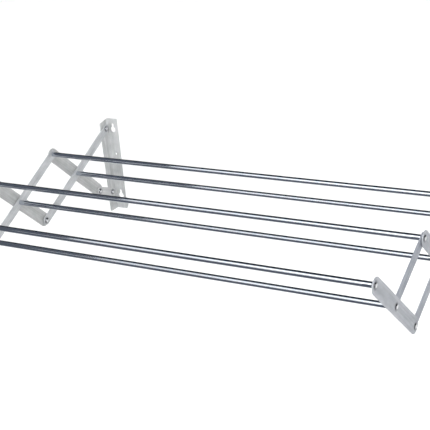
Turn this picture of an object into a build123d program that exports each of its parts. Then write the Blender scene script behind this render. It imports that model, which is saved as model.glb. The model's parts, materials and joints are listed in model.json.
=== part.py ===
"""Wall mounted fold down drying rack: two scissor frames of flat bars, six tubes, two wall brackets."""
from build123d import *
import math
import os

os.makedirs("parts", exist_ok=True)

# ---------------------------------------------------------------- driving dimensions (mm)
# Frame: X runs along the tubes, the wall is the plane Y = 0, the rack reaches out to -Y, +Z is up.
# The origin is the middle of the four keyhole entries in the wall brackets.
HALF_SPAN = 402.0          # inner faces of the inner bars, measured from the middle
STAGE_PITCH = 170.0        # one scissor stage, horizontally, when the rack is open
REAR_OFFSET_Y = -44.0      # lower rear joint measured from the upper rear joint
REAR_OFFSET_Z = -117.0
PIVOT_Y = -11.5            # upper rear joint, distance from the wall
PIVOT_Z = 73.7             # upper rear joint, height over the origin
STAY_PIVOT_Y = PIVOT_Y - 5.0
STAY_PIVOT_Z = PIVOT_Z - 132.0

# Layers, counted outwards from the inner face of the inner bars. The narrow bars and the
# stays are the inner layer, the wide plates and the bracket flanges are the outer layer.
BAR_THICK = 1.5
LAYER_GAP = 0.3            # free play between parts that turn against each other
WASHER_THICK = 0.5
SHEET = 2.0
OUTER_IN = BAR_THICK + LAYER_GAP + WASHER_THICK
PLATE_OUT = OUTER_IN + BAR_THICK
FLANGE_OUT = OUTER_IN + SHEET

# Flat bars
NARROW_WIDTH = 17.0
WIDE_WIDTH = 25.5
WIDE_OVERHANG = 9.0        # plate length beyond its end joints
EDGE_ROUND = 0.35

# Tubes and plugs
TUBE_R = 4.5
TUBE_WALL = 0.8
TUBE_LIP = 0.25
PLUG_LENGTH = 14.0

# Rivets
SHANK_R = 2.5
RUNNING_GAP = 0.06         # radial clearance round a turning shank
HEAD_R = 4.5
HEAD_H = 2.0
WASHER_R = 5.8
SHANK_REACH = 11.0         # how far a tube rivet enters its plug

# Wall brackets
BEND_IN = 1.0
BRACKET_TOP = PIVOT_Z + 18.7
BRACKET_BOTTOM = PIVOT_Z - 171.0
FLANGE_FRONT = PIVOT_Y - 14.3
FLANGE_TOP_DROP = 5.0
WALL_FLANGE = 20.0         # reach of the wall flange past the inner bar face
FOOT_REACH = 26.5
FOOT_TOP = PIVOT_Z - 147.0
FOOT_WIDEST = PIVOT_Z - 156.0
FOOT_END_REACH = 20.0
KEY_INSET = 9.0            # keyhole centre line, inwards from the inner bar face
KEY_SLOT_R = 2.75
KEY_ROUND_R = 6.0
KEY_ENTRY_Z = 70.0         # round entry centre over or under the origin
KEY_RISE = 10.2            # from the round entry up to the centre of the slot's end
SCREW_HOLE_R = 2.25
SCREW_HOLE_Z = PIVOT_Z - 54.5

SIDES = {"left": -1, "right": 1}


# ---------------------------------------------------------------- joint positions
def upper_joint(stage):
    """Upper joint line of a stage, as (y, z)."""
    return (PIVOT_Y - stage * STAGE_PITCH, PIVOT_Z)


def lower_joint(stage):
    """Lower joint line of a stage, as (y, z)."""
    return (PIVOT_Y - stage * STAGE_PITCH + REAR_OFFSET_Y, PIVOT_Z + REAR_OFFSET_Z)


def cross_joint(stage):
    """Crossing of the bars of stage 1, 2 or 3, as (y, z)."""
    upper = upper_joint(stage - 1)
    lower = lower_joint(stage)
    return ((upper[0] + lower[0]) / 2, (upper[1] + lower[1]) / 2)


def layer_start(side, inner, outer):
    """Lowest X of a layer that lies between two outward distances."""
    if side > 0:
        return HALF_SPAN + inner
    return -(HALF_SPAN + outer)


# ---------------------------------------------------------------- flat bars
def flat_bar(name, outline, inner, side, start, end, running_holes, fixed_holes):
    """Flat bar between two joints, with its holes; outline is the sketch shape of the blank."""
    angle = math.degrees(math.atan2(end[1] - start[1], end[0] - start[0]))
    middle = ((start[0] + end[0]) / 2, (start[1] + end[1]) / 2)
    face_plane = Plane.YZ.offset(layer_start(side, inner, inner + BAR_THICK))
    with BuildPart() as bar:
        with BuildSketch(face_plane):
            with Locations(middle):
                if outline == "slot":
                    SlotCenterToCenter(math.dist(start, end), NARROW_WIDTH, rotation=angle)
                else:
                    round_centres = math.dist(start, end) + 2 * WIDE_OVERHANG - WIDE_WIDTH
                    SlotCenterToCenter(round_centres, WIDE_WIDTH, rotation=angle)
        extrude(amount=BAR_THICK)
        fillet(bar.faces().filter_by(Axis.X).edges(), EDGE_ROUND)
        with BuildSketch(face_plane):
            with Locations(*running_holes):
                Circle(SHANK_R + RUNNING_GAP)
            with Locations(*fixed_holes):
                Circle(SHANK_R)
        extrude(amount=BAR_THICK, mode=Mode.SUBTRACT)
    bar.part.label = name
    export_step(bar.part, f"parts/{name}.step")


# Inner bars: two long ones and a half-length one at the front, on each side.
# Inner bar n hangs from upper joint n - 1, is fixed to the rail at crossing n
# and ends at lower joint n, except the front one, which ends at its crossing.
for side_name, side in SIDES.items():
    flat_bar(f"inner_bar_1_{side_name}", "slot", 0, side, upper_joint(0), lower_joint(1),
             [upper_joint(0), lower_joint(1)], [cross_joint(1)])
    flat_bar(f"inner_bar_2_{side_name}", "slot", 0, side, upper_joint(1), lower_joint(2),
             [upper_joint(1), lower_joint(2)], [cross_joint(2)])
    flat_bar(f"inner_bar_3_{side_name}", "slot", 0, side, upper_joint(2), cross_joint(3),
             [upper_joint(2)], [cross_joint(3)])
    # The stay is a short piece of the same bar, from the bracket to the first plate.
    flat_bar(f"stay_{side_name}", "slot", 0, side, lower_joint(0), (STAY_PIVOT_Y, STAY_PIVOT_Z),
             [(STAY_PIVOT_Y, STAY_PIVOT_Z)], [lower_joint(0)])

# Wide plates: plate n runs from lower joint n - 1 up to upper joint n.
for side_name, side in SIDES.items():
    for stage in (1, 2, 3):
        flat_bar(f"wide_plate_{stage}_{side_name}", "plate", OUTER_IN, side,
                 lower_joint(stage - 1), upper_joint(stage),
                 [cross_joint(stage)], [lower_joint(stage - 1), upper_joint(stage)])


# ---------------------------------------------------------------- tubes and their plugs
def rail(name, joint, end_gap):
    """Round tube between the two side frames."""
    start = -(HALF_SPAN - end_gap)
    length = 2 * (HALF_SPAN - end_gap)
    with BuildPart() as tube:
        with BuildSketch(Plane.YZ.offset(start)):
            with Locations(joint):
                Circle(TUBE_R)
        extrude(amount=length)
        fillet(tube.faces().filter_by(Axis.X).edges(), TUBE_LIP)
        with BuildSketch(Plane.YZ.offset(start)):
            with Locations(joint):
                Circle(TUBE_R - TUBE_WALL)
        extrude(amount=length, mode=Mode.SUBTRACT)
    tube.part.label = name
    export_step(tube.part, f"parts/{name}.step")


def rail_plugs(name, joint, end_gap):
    """Plug in each end of a tube, with a blind hole for the rivet."""
    with BuildPart() as plugs:
        for side in SIDES.values():
            outer_end = side * (HALF_SPAN - end_gap)
            with BuildSketch(Plane.YZ.offset(outer_end)):
                with Locations(joint):
                    Circle(TUBE_R - TUBE_WALL)
            extrude(amount=-side * PLUG_LENGTH)
            with BuildSketch(Plane.YZ.offset(outer_end)):
                with Locations(joint):
                    Circle(SHANK_R)
            extrude(amount=-side * SHANK_REACH, mode=Mode.SUBTRACT)
    plugs.part.label = name
    export_step(plugs.part, f"parts/{name}.step")


# Lower rails sit at the crossings, fixed to the inner bars.
# Upper rails sit at the upper joints, fixed to the plates, clear of the turning inner bars.
for stage in (1, 2, 3):
    rail(f"lower_rail_{stage}", cross_joint(stage), 0.0)
    rail_plugs(f"lower_rail_{stage}_plugs", cross_joint(stage), 0.0)
    rail(f"upper_rail_{stage}", upper_joint(stage), LAYER_GAP)
    rail_plugs(f"upper_rail_{stage}_plugs", upper_joint(stage), LAYER_GAP)


# ---------------------------------------------------------------- rivets and washers
def rivet_outline(outer_head, outer, inner_head, inner):
    """Half section of a rivet: distances outwards along the axis, then radius."""
    dome_r = (HEAD_R**2 + (HEAD_H - 0.5) ** 2) / (2 * (HEAD_H - 0.5))
    half_angle = math.asin(HEAD_R / dome_r) / 2
    mid_r = dome_r * math.sin(half_angle)
    mid_h = HEAD_H - dome_r * (1 - math.cos(half_angle))
    if outer_head:
        Polyline((outer, SHANK_R), (outer, HEAD_R), (outer + 0.5, HEAD_R))
        ThreePointArc((outer + 0.5, HEAD_R), (outer + mid_h, mid_r), (outer + HEAD_H, 0))
        outer_tip = outer + HEAD_H
    else:
        Line((outer, SHANK_R), (outer, 0))
        outer_tip = outer
    if inner_head:
        Polyline((inner, SHANK_R), (inner, HEAD_R), (inner - 0.5, HEAD_R))
        ThreePointArc((inner - 0.5, HEAD_R), (inner - mid_h, mid_r), (inner - HEAD_H, 0))
        inner_tip = inner - HEAD_H
    else:
        Line((inner, SHANK_R), (inner, 0))
        inner_tip = inner
    Line((inner, SHANK_R), (outer, SHANK_R))
    Line((inner_tip, 0), (outer_tip, 0))


def rivets(name, joint, outer_head, outer, inner_head, inner):
    """The same rivet on both sides of the rack, as two solids."""
    with BuildPart() as pair:
        for side in SIDES.values():
            centre = (side * HALF_SPAN, joint[0], joint[1])
            with BuildSketch(Plane(origin=centre, x_dir=(side, 0, 0), z_dir=(0, -1, 0))):
                with BuildLine():
                    rivet_outline(outer_head, outer, inner_head, inner)
                make_face()
            revolve(axis=Axis(centre, (1, 0, 0)))
    pair.part.label = name
    export_step(pair.part, f"parts/{name}.step")


def washers(name, joint, inner):
    """Thin washer between the two layers, on both sides."""
    with BuildPart() as pair:
        for side in SIDES.values():
            with BuildSketch(Plane.YZ.offset(layer_start(side, inner, inner + WASHER_THICK))):
                with Locations(joint):
                    Circle(WASHER_R)
                    Circle(SHANK_R, mode=Mode.SUBTRACT)
            extrude(amount=WASHER_THICK)
    pair.part.label = name
    export_step(pair.part, f"parts/{name}.step")


# Washers lie on the layer that their rivet is fixed to.
ON_BAR = BAR_THICK
ON_OUTER = OUTER_IN - WASHER_THICK

# Bracket rivets: flush on the flange's outer face, domed on the inside.
rivets("bracket_rivets", upper_joint(0), False, FLANGE_OUT, True, -LAYER_GAP)
washers("bracket_washers", upper_joint(0), ON_OUTER)
rivets("stay_pivot_rivets", (STAY_PIVOT_Y, STAY_PIVOT_Z), False, FLANGE_OUT, True, -LAYER_GAP)
washers("stay_pivot_washers", (STAY_PIVOT_Y, STAY_PIVOT_Z), ON_OUTER)

# Crossings: the rivet turns with the inner bar and its rail, the plate turns on it.
for stage in (1, 2, 3):
    rivets(f"cross_rivets_{stage}", cross_joint(stage), True, PLATE_OUT + LAYER_GAP, False, -SHANK_REACH)
    washers(f"cross_washers_{stage}", cross_joint(stage), ON_BAR)

# Upper joints: the rivet holds the plate and the rail, the next inner bar turns on it.
for stage in (1, 2, 3):
    rivets(f"upper_rivets_{stage}", upper_joint(stage), True, PLATE_OUT, False, -LAYER_GAP - SHANK_REACH)
    washers(f"upper_washers_{stage}", upper_joint(stage), ON_OUTER)

# Lower joints: headed on both sides, fixed in the plate of the next stage.
for stage in (1, 2):
    rivets(f"lower_rivets_{stage}", lower_joint(stage), True, PLATE_OUT, True, -LAYER_GAP)
    washers(f"lower_washers_{stage}", lower_joint(stage), ON_OUTER)

# Rear lower joint: the plate's stub ends short of the stay, and the stay has its own head.
rivets("rear_stub_rivets", lower_joint(0), True, PLATE_OUT, False, ON_OUTER)
washers("rear_stub_washers", lower_joint(0), ON_OUTER)


def stay_end_rivet(name, side):
    """Domed rivet in the outer end of one stay."""
    centre = (side * HALF_SPAN, *lower_joint(0))
    with BuildPart() as stud:
        with BuildSketch(Plane(origin=centre, x_dir=(side, 0, 0), z_dir=(0, -1, 0))):
            with BuildLine():
                rivet_outline(False, BAR_THICK, True, 0.0)
            make_face()
        revolve(axis=Axis(centre, (1, 0, 0)))
    stud.part.label = name
    export_step(stud.part, f"parts/{name}.step")


for side_name, side in SIDES.items():
    stay_end_rivet(f"stay_{side_name}_rivet", side)


# ---------------------------------------------------------------- wall brackets
def keyhole(column, entry_z):
    """Keyhole outline: a slot over a round entry."""
    with Locations((column, entry_z + KEY_RISE / 2)):
        SlotCenterToCenter(KEY_RISE, 2 * KEY_SLOT_R, rotation=90)
    with Locations((column, entry_z)):
        Circle(KEY_ROUND_R)


def bracket(name, side):
    """Angle of bent sheet: a flange beside the bars and a flange on the wall."""
    height = BRACKET_TOP - BRACKET_BOTTOM
    outer_x = side * (HALF_SPAN + FLANGE_OUT)
    inner_x = side * (HALF_SPAN + OUTER_IN)
    reach_x = side * (HALF_SPAN - FOOT_REACH)
    narrow_x = side * (HALF_SPAN - WALL_FLANGE)
    foot_x = side * (HALF_SPAN - FOOT_END_REACH)
    column = side * (HALF_SPAN - KEY_INSET)
    with BuildPart() as angle:
        with BuildSketch(Plane.XY.offset(BRACKET_BOTTOM)) as section:
            with BuildLine():
                Polyline((outer_x, 0), (outer_x, FLANGE_FRONT), (inner_x, FLANGE_FRONT), (inner_x, -SHEET),
                         (reach_x, -SHEET), (reach_x, 0), (outer_x, 0))
            make_face()
            fillet(section.vertices().sort_by_distance((outer_x, 0))[0], BEND_IN + SHEET)
            fillet(section.vertices().sort_by_distance((inner_x, -SHEET))[0], BEND_IN)
        extrude(amount=height)
        # The wall flange is cut back above its flared foot.
        with BuildSketch(Plane.XZ):
            with BuildLine():
                Polyline((narrow_x, BRACKET_TOP), (narrow_x, FOOT_TOP), (reach_x, FOOT_WIDEST),
                         (foot_x, BRACKET_BOTTOM), (reach_x - side, BRACKET_BOTTOM),
                         (reach_x - side, BRACKET_TOP), (narrow_x, BRACKET_TOP))
            make_face()
        extrude(amount=SHEET, mode=Mode.SUBTRACT)
        # The side flange falls off a little towards its front edge.
        with BuildSketch(Plane.YZ.offset(min(outer_x, inner_x))):
            with BuildLine():
                Polyline((-SHEET, BRACKET_TOP), (FLANGE_FRONT, BRACKET_TOP),
                         (FLANGE_FRONT, BRACKET_TOP - FLANGE_TOP_DROP), (-SHEET, BRACKET_TOP))
            make_face()
        extrude(amount=SHEET, mode=Mode.SUBTRACT)
        front_corners = angle.edges().filter_by(Axis.X).group_by(Axis.Y)[0]
        fillet(front_corners, 2.0)
        with BuildSketch(Plane.YZ.offset(min(outer_x, inner_x))):
            with Locations(upper_joint(0), (STAY_PIVOT_Y, STAY_PIVOT_Z)):
                Circle(SHANK_R)
        extrude(amount=SHEET, mode=Mode.SUBTRACT)
        with BuildSketch(Plane.XZ):
            keyhole(column, KEY_ENTRY_Z)
            keyhole(column, -KEY_ENTRY_Z)
            with Locations((column, SCREW_HOLE_Z)):
                Circle(SCREW_HOLE_R)
        extrude(amount=SHEET, mode=Mode.SUBTRACT)
    angle.part.label = name
    export_step(angle.part, f"parts/{name}.step")


for side_name, side in SIDES.items():
    bracket(f"bracket_{side_name}", side)
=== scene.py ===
"""Looks of the wall mounted fold down drying rack: satin flat bars, polished rails, domed rivets."""

import json
import math

import bmesh
import bpy
from mathutils import Matrix, Vector


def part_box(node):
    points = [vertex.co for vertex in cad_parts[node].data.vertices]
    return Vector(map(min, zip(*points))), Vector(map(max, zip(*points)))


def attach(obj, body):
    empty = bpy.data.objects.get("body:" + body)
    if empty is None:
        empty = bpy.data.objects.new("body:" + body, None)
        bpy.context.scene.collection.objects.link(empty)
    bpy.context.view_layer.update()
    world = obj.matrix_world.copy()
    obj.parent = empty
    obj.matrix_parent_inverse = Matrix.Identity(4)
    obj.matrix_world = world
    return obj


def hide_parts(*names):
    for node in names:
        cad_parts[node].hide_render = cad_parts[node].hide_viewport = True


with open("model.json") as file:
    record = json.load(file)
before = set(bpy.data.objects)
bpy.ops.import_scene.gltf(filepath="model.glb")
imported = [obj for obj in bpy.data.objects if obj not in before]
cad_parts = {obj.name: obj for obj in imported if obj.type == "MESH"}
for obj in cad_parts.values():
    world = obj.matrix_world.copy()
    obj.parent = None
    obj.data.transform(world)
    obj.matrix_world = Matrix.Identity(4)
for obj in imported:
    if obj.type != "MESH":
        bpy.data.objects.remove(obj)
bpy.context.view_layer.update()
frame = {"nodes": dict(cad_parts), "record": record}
nodes = frame["nodes"]
joints = {j["name"]: j for j in frame["record"]["behaviour"]["joints"]}

# ---------------------------------------------------------------- camera
CAMERA_LOCATION = (0.97364, -1.74917, 0.68741)
CAMERA_YAW = 33.195        # degrees, from +Y towards -X
CAMERA_PITCH = 20.353      # degrees below the horizon
CAMERA_ROLL = -5.497       # degrees about the line of sight
CAMERA_LENS = 95.6
CAMERA_SENSOR = 36.0
CAMERA_REACH = 200.0


# ---------------------------------------------------------------- node helpers
class Graph:
    """Short way to build a node material."""

    def __init__(self, name):
        self.material = bpy.data.materials.new(name)
        self.material.use_nodes = True
        self.tree = self.material.node_tree
        self.tree.nodes.clear()
        output = self.add("ShaderNodeOutputMaterial")
        self.shader = self.add("ShaderNodeBsdfPrincipled")
        self.link(self.shader.outputs["BSDF"], output.inputs["Surface"])

    def add(self, kind, **values):
        node = self.tree.nodes.new(kind)
        for key, value in values.items():
            setattr(node, key, value)
        return node

    def link(self, source, target):
        self.tree.links.new(source, target)

    def coordinates(self, angle=0.0, stretch=(1.0, 1.0, 1.0)):
        """Object coordinates turned so that Y runs along the bar, times a stretch."""
        source = self.add("ShaderNodeTexCoord")
        mapping = self.add("ShaderNodeMapping", vector_type="TEXTURE")
        mapping.inputs["Rotation"].default_value = (math.radians(angle), 0.0, 0.0)
        mapping.inputs["Scale"].default_value = tuple(1.0 / s for s in stretch)
        self.link(source.outputs["Object"], mapping.inputs["Vector"])
        return mapping.outputs["Vector"]

    def noise(self, vector, detail, roughness):
        node = self.add("ShaderNodeTexNoise")
        node.inputs["Scale"].default_value = 1.0
        node.inputs["Detail"].default_value = detail
        node.inputs["Roughness"].default_value = roughness
        self.link(vector, node.inputs["Vector"])
        return node.outputs["Fac"]

    def math(self, operation, a, b=0.0):
        node = self.add("ShaderNodeMath", operation=operation)
        for socket, value in zip(node.inputs, (a, b)):
            if isinstance(value, (int, float)):
                socket.default_value = value
            else:
                self.link(value, socket)
        return node.outputs[0]

    def range(self, value, low, high, out_low, out_high):
        node = self.add("ShaderNodeMapRange")
        numbers = {"From Min": low, "From Max": high, "To Min": out_low, "To Max": out_high}
        for key, number in numbers.items():
            node.inputs[key].default_value = number
        self.link(value, node.inputs["Value"])
        return node.outputs["Result"]

    def colours(self, value, *stops):
        node = self.add("ShaderNodeValToRGB")
        ramp = node.color_ramp
        while len(ramp.elements) < len(stops):
            ramp.elements.new(0.5)
        for element, (position, colour) in zip(ramp.elements, stops):
            element.position = position
            element.color = (*colour, 1.0)
        self.link(value, node.inputs["Fac"])
        return node.outputs["Color"]

    def mix(self, factor, base, colour):
        """The base colour, replaced by a fixed colour where the factor is 1."""
        node = self.add("ShaderNodeMix", data_type="RGBA", blend_type="MIX")
        self.link(factor, node.inputs[0])
        self.link(base, node.inputs[6])
        node.inputs[7].default_value = (*colour, 1.0)
        return node.outputs[2]

    def bump(self, height, strength, distance):
        node = self.add("ShaderNodeBump")
        node.inputs["Strength"].default_value = strength
        node.inputs["Distance"].default_value = distance
        self.link(height, node.inputs["Height"])
        self.link(node.outputs["Normal"], self.shader.inputs["Normal"])

    def set(self, socket, value):
        if isinstance(value, (int, float, tuple)):
            self.shader.inputs[socket].default_value = value
        else:
            self.link(value, self.shader.inputs[socket])

    def painted_light_disc(self, centres, inner_r, outer_r):
        """Mask for painted light at the rivets: 1 on the rivet axes given as (y, z), falling to 0
        between the two radii.
        """
        source = self.add("ShaderNodeTexCoord")
        total = None
        for y, z in centres:
            scaled = self.add("ShaderNodeVectorMath", operation="MULTIPLY")
            self.link(source.outputs["Object"], scaled.inputs[0])
            scaled.inputs[1].default_value = (0.0, 1.0, 1.0)
            distance = self.add("ShaderNodeVectorMath", operation="DISTANCE")
            self.link(scaled.outputs[0], distance.inputs[0])
            distance.inputs[1].default_value = (0.0, y, z)
            near = self.range(distance.outputs["Value"], inner_r, outer_r, 1.0, 0.0)
            total = near if total is None else self.math("MAXIMUM", total, near)
        return total


# ---------------------------------------------------------------- joint axes
def axis_of(name):
    return tuple(joints[name]["pos_m"][1:])


def slope(start, end):
    """Angle of the line between two axes in the YZ plane, in degrees from +Y towards +Z."""
    return math.degrees(math.atan2(end[1] - start[1], end[0] - start[0]))


UPPER = [axis_of("fold"), axis_of("inner_2_swing"), axis_of("inner_3_swing")]
UPPER.append(tuple(2 * c - b for b, c in zip(UPPER[1], UPPER[2])))
CROSS = [axis_of(f"plate_{n}_swing") for n in (1, 2, 3)]
LOWER = [tuple(2 * c - u for c, u in zip(CROSS[n], UPPER[n + 1])) for n in (0, 1, 2)]
STAY_AXIS = axis_of("stay_left_swing")
ALL_AXES = UPPER + CROSS + LOWER
BARE_AXES = LOWER + UPPER[:1]
RAIL_AXES = UPPER[1:] + CROSS

# ---------------------------------------------------------------- grain directions
INNER_BAR_ANGLE = slope(LOWER[1], UPPER[0])
PLATE_ANGLE = slope(LOWER[0], UPPER[1])
STAY_ANGLE = slope(STAY_AXIS, LOWER[0])
BRACKET_ANGLE = 90.0


# ---------------------------------------------------------------- materials
# Painted shade: a dark ring painted on the strip round each rivet stands in for the rivet's shadow and
# dark reflection.
PAINTED_SHADE_IN = 0.0046         # painted shade: dark ring round a rivet, full inside this radius
PAINTED_SHADE_OUT = 0.0076
PAINTED_SHADE_COLOUR = (0.13, 0.135, 0.145)
FACE_STEP = 0.0002        # width in x over which a ring starts on a bar's outer side
PAINTED_HIGHLIGHT_IN = 0.0022         # painted highlight on the crown of a rivet head
PAINTED_HIGHLIGHT_OUT = 0.0046
STRIP_METALLIC = 0.75


def satin(name, angle, dark, light, bare, capped=(), face=0.0, rough=(0.48, 0.62)):
    """Rolled and brushed steel strip: long grain, cloudy tone, and painted shade in a dark ring round
    each rivet for its shadow and dark reflection.

    A rail ends on the inner side of the capped joints, so their rings lie only beyond
    face in |x|.
    """
    g = Graph(name)
    fine = g.noise(g.coordinates(angle, (900.0, 14.0, 2100.0)), 3.0, 0.6)
    streak = g.noise(g.coordinates(angle, (60.0, 7.0, 420.0)), 3.0, 0.6)
    cloud = g.noise(g.coordinates(angle, (40.0, 36.0, 90.0)), 5.0, 0.65)
    tone = g.math("ADD", g.math("MULTIPLY", streak, 0.5), g.math("MULTIPLY", cloud, 0.5))
    tone = g.math("ADD", tone, g.math("MULTIPLY", g.math("SUBTRACT", fine, 0.5), 0.35))
    colour = g.colours(tone, (0.36, dark), (0.64, light))
    # Painted shade: a dark ring round each rivet for its shadow and dark reflection on the strip.
    ring = g.painted_light_disc(bare, PAINTED_SHADE_IN, PAINTED_SHADE_OUT)
    if capped:
        source = g.add("ShaderNodeTexCoord")
        split = g.add("ShaderNodeSeparateXYZ")
        g.link(source.outputs["Object"], split.inputs[0])
        distance = g.math("ABSOLUTE", split.outputs["X"])
        side = g.range(distance, face, face + FACE_STEP, 0.0, 1.0)
        outer_ring = g.math("MULTIPLY", side, g.painted_light_disc(capped, PAINTED_SHADE_IN, PAINTED_SHADE_OUT))
        ring = g.math("MAXIMUM", ring, outer_ring)
    # Noise breaks up the strength of the painted shade ring.
    scuff = g.noise(g.coordinates(angle, (420.0, 420.0, 420.0)), 4.0, 0.7)
    painted_shade_mask = g.math("MULTIPLY", ring, g.range(scuff, 0.25, 0.7, 0.45, 0.95))
    g.set("Base Color", g.mix(painted_shade_mask, colour, PAINTED_SHADE_COLOUR))
    g.set("Metallic", STRIP_METALLIC)
    g.set("Roughness", g.range(tone, 0.3, 0.7, rough[1], rough[0]))
    g.bump(g.math("ADD", fine, g.math("MULTIPLY", cloud, 0.6)), 0.22, 0.00012)
    return g.material


def chrome_tube(name):
    """Drawn and plated tube: faint lines along X, a few scuffs, slightly bluish."""
    g = Graph(name)
    drawn = g.noise(g.coordinates(0.0, (5.0, 900.0, 900.0)), 2.0, 0.5)
    scuff = g.noise(g.coordinates(0.0, (40.0, 220.0, 220.0)), 5.0, 0.65)
    cloud = g.noise(g.coordinates(0.0, (9.0, 30.0, 30.0)), 3.0, 0.5)
    tone = g.math("ADD", g.math("MULTIPLY", cloud, 0.65), g.math("MULTIPLY", drawn, 0.35))
    dark, light = (0.55, 0.585, 0.635), (0.66, 0.69, 0.735)
    g.set("Base Color", g.colours(tone, (0.32, dark), (0.68, light)))
    g.set("Metallic", 1.0)
    worn = g.range(scuff, 0.58, 0.80, 0.0, 0.14)
    g.set("Roughness", g.math("ADD", g.range(cloud, 0.3, 0.7, 0.04, 0.085), worn))
    g.bump(scuff, 0.03, 0.00004)
    return g.material


def rivet_painted_light(name, centres):
    """Plated rivet with painted light: painted highlight on the crown, painted shade where the head
    meets the strip.
    """
    g = Graph(name)
    grit = g.noise(g.coordinates(0.0, (700.0, 700.0, 700.0)), 4.0, 0.6)
    painted_highlight_mask = g.painted_light_disc(centres, PAINTED_HIGHLIGHT_IN, PAINTED_HIGHLIGHT_OUT)
    tone = g.math("ADD", g.math("MULTIPLY", painted_highlight_mask, 0.8), g.math("MULTIPLY", grit, 0.2))
    # Painted shade at the rim, painted highlight on the top.
    rim, shoulder, top = (0.26, 0.265, 0.28), (0.58, 0.59, 0.61), (0.78, 0.785, 0.80)
    g.set("Base Color", g.colours(tone, (0.1, rim), (0.55, shoulder), (0.9, top)))
    g.set("Metallic", 1.0)
    g.set("Roughness", g.range(grit, 0.3, 0.75, 0.12, 0.30))
    g.bump(grit, 0.25, 0.00012)
    return g.material


def moulded(name, dark, light, rough):
    """Matt moulded plastic."""
    g = Graph(name)
    grain = g.noise(g.coordinates(0.0, (900.0, 900.0, 900.0)), 5.0, 0.6)
    cloud = g.noise(g.coordinates(0.0, (90.0, 90.0, 90.0)), 3.0, 0.5)
    tone = g.math("ADD", g.math("MULTIPLY", grain, 0.4), g.math("MULTIPLY", cloud, 0.6))
    g.set("Base Color", g.colours(tone, (0.3, dark), (0.7, light)))
    g.set("Roughness", g.range(grain, 0.3, 0.7, rough, rough + 0.15))
    g.bump(grain, 0.3, 0.0001)
    return g.material


# Distance |x| past which each layer's outer side shows the painted shade round its rail joints.
INNER_FACE = 0.4030
PLATE_FACE = 0.4055
# Lit and shaded copies of one steel: the right-hand copies are painted darker and bluer for the light
# falling on that side.
inner_metal_lit_and_shaded = {
    "left": satin("inner_steel_left_painted_lit", INNER_BAR_ANGLE, (0.42, 0.435, 0.45), (0.63, 0.645, 0.66),
                  BARE_AXES, RAIL_AXES, INNER_FACE),
    "right": satin("inner_steel_right_painted_shade", INNER_BAR_ANGLE, (0.29, 0.31, 0.35), (0.43, 0.45, 0.49),
                   BARE_AXES, RAIL_AXES, INNER_FACE),
}
# Plates: the right copy is painted darker and bluer as painted shade.
plate_metal_lit_and_shaded = {
    "left": satin("plate_steel_left_painted_lit", PLATE_ANGLE, (0.40, 0.41, 0.41), (0.57, 0.58, 0.58),
                  BARE_AXES, RAIL_AXES, PLATE_FACE),
    "right": satin("plate_steel_right_painted_shade", PLATE_ANGLE, (0.35, 0.365, 0.395), (0.51, 0.525, 0.555),
                   BARE_AXES, RAIL_AXES, PLATE_FACE),
}
stay_metal = satin("stay_steel", STAY_ANGLE, (0.50, 0.505, 0.51), (0.66, 0.665, 0.67),
                   [LOWER[0], STAY_AXIS])
bracket_metal = satin("bracket_steel", BRACKET_ANGLE, (0.46, 0.47, 0.47), (0.66, 0.67, 0.67),
                      [UPPER[0], STAY_AXIS], rough=(0.50, 0.66))
tube_metal = chrome_tube("polished_tube")
rivet_painted_light_finish = rivet_painted_light("rivet_plate_painted_light", ALL_AXES + [STAY_AXIS])
washer_finish = moulded("washer_nylon", (0.50, 0.50, 0.51), (0.60, 0.60, 0.61), 0.45)
plug_finish = moulded("plug_plastic", (0.05, 0.05, 0.055), (0.09, 0.09, 0.095), 0.4)


def material_for(name):
    if "plugs" in name:
        return plug_finish
    if "rivet" in name:
        return rivet_painted_light_finish
    if "washer" in name:
        return washer_finish
    if "rail" in name:
        return tube_metal
    if name.startswith("wide_plate"):
        return plate_metal_lit_and_shaded[name.rsplit("_", 1)[1]]
    if name.startswith("inner_bar"):
        return inner_metal_lit_and_shaded[name.rsplit("_", 1)[1]]
    if name.startswith("stay"):
        return stay_metal
    return bracket_metal


for name, node in nodes.items():
    node.data.materials.clear()
    node.data.materials.append(material_for(name))


# ---------------------------------------------------------------- rails
TUBE_R = 0.0045
TUBE_BORE_R = 0.0037
TUBE_LIP_R = 0.0003
TUBE_SEGMENTS = 72
TUBE_RINGS = 40
LIP_STEPS = 4


def tube_profile(start, end):
    """Closed outline of the tube wall as (x, radius), with a rolled lip at both ends."""
    points = []
    for step in range(LIP_STEPS + 1):
        angle = math.radians(90.0 * step / LIP_STEPS)
        x = start + TUBE_LIP_R * (1 - math.sin(angle))
        points.append((x, TUBE_R - TUBE_LIP_R * (1 - math.cos(angle))))
    points.reverse()
    outer = points[-1][0]
    straight = end - start - 2 * (outer - start)
    wall = [(outer + straight * n / TUBE_RINGS, TUBE_R) for n in range(1, TUBE_RINGS)]
    mirrored = [(start + end - x, r) for x, r in reversed(points)]
    bore = [(end, TUBE_BORE_R), ((start + end) / 2, TUBE_BORE_R), (start, TUBE_BORE_R)]
    return points + wall + mirrored + bore


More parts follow.
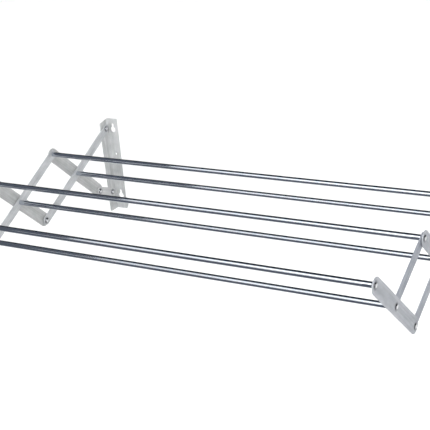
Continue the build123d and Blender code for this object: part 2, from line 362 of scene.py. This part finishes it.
def rail_piece(node_name, body):
    """Smooth tube on the axis of a CAD rail."""
    low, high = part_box(node_name)
    centre_y, centre_z = (low.y + high.y) / 2, (low.z + high.z) / 2
    profile = tube_profile(low.x, high.x)
    mesh = bmesh.new()
    rings = []
    for x, r in profile:
        ring = []
        for k in range(TUBE_SEGMENTS):
            turn = 2 * math.pi * k / TUBE_SEGMENTS
            y, z = centre_y + r * math.cos(turn), centre_z + r * math.sin(turn)
            ring.append(mesh.verts.new((x, y, z)))
        rings.append(ring)
    for a, b in zip(rings, rings[1:] + rings[:1]):
        for k in range(TUBE_SEGMENTS):
            n = (k + 1) % TUBE_SEGMENTS
            mesh.faces.new((a[k], a[n], b[n], b[k]))
    bmesh.ops.recalc_face_normals(mesh, faces=mesh.faces)
    for face in mesh.faces:
        face.smooth = True
    data = bpy.data.meshes.new(f"{node_name}_tube")
    mesh.to_mesh(data)
    mesh.free()
    piece = bpy.data.objects.new(f"{node_name}_tube", data)
    bpy.context.scene.collection.objects.link(piece)
    data.materials.append(tube_metal)
    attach(piece, body)
    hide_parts(node_name)


for stage in (1, 2, 3):
    rail_piece(f"lower_rail_{stage}", f"inner_frame_{stage}")
    rail_piece(f"upper_rail_{stage}", f"plate_frame_{stage}")


# ---------------------------------------------------------------- floor
FLOOR_Z = -1.3
FLOOR_HALF = 40.0


def floor_material():
    g = Graph("pale_floor")
    cloud = g.noise(g.coordinates(0.0, (0.6, 0.6, 0.6)), 3.0, 0.5)
    g.set("Base Color", g.colours(cloud, (0.3, (0.86, 0.86, 0.86)), (0.7, (0.88, 0.88, 0.88))))
    g.set("Roughness", 0.9)
    g.set("Specular IOR Level", 0.1)
    return g.material


floor_mesh = bpy.data.meshes.new("floor")
corners = [(FLOOR_HALF * x, FLOOR_HALF * y, 0) for x, y in ((-1, -1), (1, -1), (1, 1), (-1, 1))]
floor_mesh.from_pydata(corners, [], [(0, 1, 2, 3)])
floor = bpy.data.objects.new("floor", floor_mesh)
floor.location = (0, 0, FLOOR_Z)
floor.data.materials.append(floor_material())
bpy.context.scene.collection.objects.link(floor)
floor.visible_glossy = False     # metal reflects the softboxes and the world, not the floor


# ---------------------------------------------------------------- light
RACK = (-0.1, -0.2, 0.0)


def area_light(name, location, target, size, radiance, spread, glossy=True):
    """Panel of the given radiance seen head on, whatever its spread in degrees."""
    data = bpy.data.lights.new(name, "AREA")
    data.shape = "RECTANGLE"
    data.size, data.size_y = size
    half = math.radians(spread) / 2
    focus = math.tan(half) / (math.tan(half) - half)
    data.energy = radiance / focus * size[0] * size[1] * math.pi
    data.spread = math.radians(spread)
    light = bpy.data.objects.new(name, data)
    light.location = location
    direction = Vector(target) - Vector(location)
    light.rotation_euler = direction.to_track_quat("-Z", "Y").to_euler()
    light.visible_glossy = glossy
    light.visible_camera = False
    bpy.context.scene.collection.objects.link(light)


area_light("floor_light", (0.0, 0.0, 1.6), (0.0, 0.0, FLOOR_Z), (80.0, 80.0), 16.5, 50.0, glossy=False)
area_light("fill_light", (0.7, -3.4, 1.0), RACK, (1.6, 1.0), 85.0, 50.0, glossy=False)
area_light("side_softbox", (3.4, -0.9, 0.9), RACK, (2.0, 1.6), 11.0, 60.0)
area_light("overhead_softbox", (-0.4, -1.75, 1.30), (-0.4, -0.27, 0.0), (2.1, 1.40), 3.6, 100.0)
area_light("front_softbox", (-1.45, -3.05, 0.45), (-1.45, -0.3, 0.1), (1.9, 0.6), 2.6, 90.0)

# The world is plain pale for the camera and a soft fill for matt surfaces. Polished
# metal reflects only the softboxes and the world, not the floor: a dim studio in front
# and above, and a pale sweep below and behind. Its tones depend on the world direction.
DIM_STOPS = ((0.0, 0.15), (0.25, 0.05), (1.0, 0.03))     # world Y, tone
DIM_TINT = (0.88, 0.96, 1.14)
SWEEP_TONE = 1.0
SWEEP_EDGES = (("Y", -0.18, 0.35), ("Z", 0.0, -0.05))    # world axis, where the sweep starts and is full
RAY_TONES = (("Is Diffuse Ray", 0.13), ("Is Camera Ray", 0.93))


def dim_studio(tree, direction):
    """Colour of the studio in front and above, from the direction's Y."""
    ramp = tree.nodes.new("ShaderNodeValToRGB")
    tree.links.new(direction.outputs["Y"], ramp.inputs["Fac"])
    while len(ramp.color_ramp.elements) < len(DIM_STOPS):
        ramp.color_ramp.elements.new(0.5)
    for element, (position, tone) in zip(ramp.color_ramp.elements, DIM_STOPS):
        element.position = position
        element.color = (*(tone * share for share in DIM_TINT), 1.0)
    return ramp.outputs["Color"]


def sweep_mask(tree, direction):
    """1 below and behind, 0 in front and above."""
    product = tree.nodes.new("ShaderNodeMath")
    product.operation = "MULTIPLY"
    for (axis, start, full), socket in zip(SWEEP_EDGES, product.inputs):
        mask = tree.nodes.new("ShaderNodeMapRange")
        mask.inputs["From Min"].default_value = start
        mask.inputs["From Max"].default_value = full
        tree.links.new(direction.outputs[axis], mask.inputs["Value"])
        tree.links.new(mask.outputs["Result"], socket)
    return product.outputs[0]


def make_world():
    world = bpy.data.worlds.new("studio")
    bpy.context.scene.world = world
    world.use_nodes = True
    tree = world.node_tree
    source = tree.nodes.new("ShaderNodeTexCoord")
    direction = tree.nodes.new("ShaderNodeSeparateXYZ")
    tree.links.new(source.outputs["Generated"], direction.inputs["Vector"])
    tones = tree.nodes.new("ShaderNodeMixRGB")
    tones.inputs["Color2"].default_value = (SWEEP_TONE, SWEEP_TONE, SWEEP_TONE, 1.0)
    tree.links.new(sweep_mask(tree, direction), tones.inputs["Fac"])
    tree.links.new(dim_studio(tree, direction), tones.inputs["Color1"])
    reflected = tree.nodes["Background"]
    tree.links.new(tones.outputs["Color"], reflected.inputs["Color"])
    path = tree.nodes.new("ShaderNodeLightPath")
    surface = reflected.outputs[0]
    for ray, tone in RAY_TONES:
        plain = tree.nodes.new("ShaderNodeBackground")
        plain.inputs["Color"].default_value = (tone, tone, tone, 1.0)
        choice = tree.nodes.new("ShaderNodeMixShader")
        tree.links.new(path.outputs[ray], choice.inputs[0])
        tree.links.new(surface, choice.inputs[1])
        tree.links.new(plain.outputs[0], choice.inputs[2])
        surface = choice.outputs[0]
    tree.links.new(surface, tree.nodes["World Output"].inputs["Surface"])


make_world()


# ---------------------------------------------------------------- camera object
def make_camera():
    data = bpy.data.cameras.new("camera")
    data.lens = CAMERA_LENS
    data.sensor_width = CAMERA_SENSOR
    data.clip_end = CAMERA_REACH
    camera = bpy.data.objects.new("camera", data)
    turn = Matrix.Rotation(math.radians(CAMERA_YAW), 4, "Z")
    tilt = Matrix.Rotation(math.radians(90.0 - CAMERA_PITCH), 4, "X")
    roll = Matrix.Rotation(math.radians(CAMERA_ROLL), 4, "Z")
    camera.matrix_world = Matrix.Translation(CAMERA_LOCATION) @ turn @ tilt @ roll
    bpy.context.scene.collection.objects.link(camera)
    bpy.context.scene.camera = camera


make_camera()
bpy.context.scene.view_settings.view_transform = "Standard"
